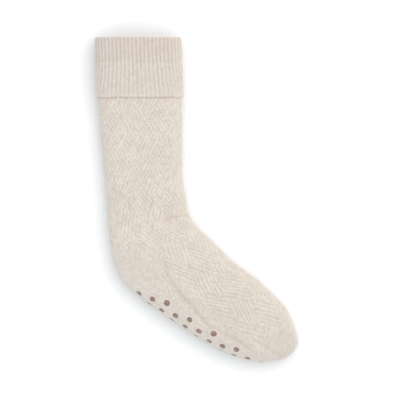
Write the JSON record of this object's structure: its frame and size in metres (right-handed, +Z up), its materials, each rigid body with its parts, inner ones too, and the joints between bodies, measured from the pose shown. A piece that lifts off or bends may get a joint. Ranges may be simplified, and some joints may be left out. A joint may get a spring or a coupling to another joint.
{
  "type": "slipper sock",
  "caption": "Knitted slipper sock lying on its side: hollow leg and foot in a basket-weave knit, turned-down ribbed cuff, plain heel, sole and toe, and rubber grip dots on the sole.",
  "frame": {"origin": "on the floor, under the middle of the box round the sock as it lies on its side", "axes": "+X forward to the toe, +Y up the leg to the cuff, +Z up from the floor"},
  "size_m": [0.2298, 0.3687, 0.0455],
  "materials": {
    "oatmeal_knit": "matt wool-blend knit",
    "oatmeal_rib": "matt ribbed knit",
    "mauve_rubber": "satin cured rubber"
  },
  "bodies": {
    "root": {"knit_body": "oatmeal_knit", "rib_cuff": "oatmeal_rib", "grip_dot_01": "mauve_rubber", "grip_dot_02": "mauve_rubber", "grip_dot_03": "mauve_rubber", "grip_dot_04": "mauve_rubber", "grip_dot_05": "mauve_rubber", "grip_dot_06": "mauve_rubber", "grip_dot_07": "mauve_rubber", "grip_dot_08": "mauve_rubber", "grip_dot_09": "mauve_rubber", "grip_dot_10": "mauve_rubber", "grip_dot_11": "mauve_rubber", "grip_dot_12": "mauve_rubber", "grip_dot_13": "mauve_rubber", "grip_dot_14": "mauve_rubber", "grip_dot_15": "mauve_rubber", "grip_dot_16": "mauve_rubber", "grip_dot_17": "mauve_rubber", "grip_dot_18": "mauve_rubber", "grip_dot_19": "mauve_rubber", "grip_dot_20": "mauve_rubber", "grip_dot_21": "mauve_rubber", "grip_dot_22": "mauve_rubber", "grip_dot_23": "mauve_rubber", "grip_dot_24": "mauve_rubber", "grip_dot_25": "mauve_rubber", "grip_dot_26": "mauve_rubber", "grip_dot_27": "mauve_rubber", "grip_dot_28": "mauve_rubber", "grip_dot_29": "mauve_rubber", "grip_dot_30": "mauve_rubber", "grip_dot_31": "mauve_rubber", "grip_dot_32": "mauve_rubber", "grip_dot_33": "mauve_rubber", "grip_dot_34": "mauve_rubber"}
  },
  "joints": []
}
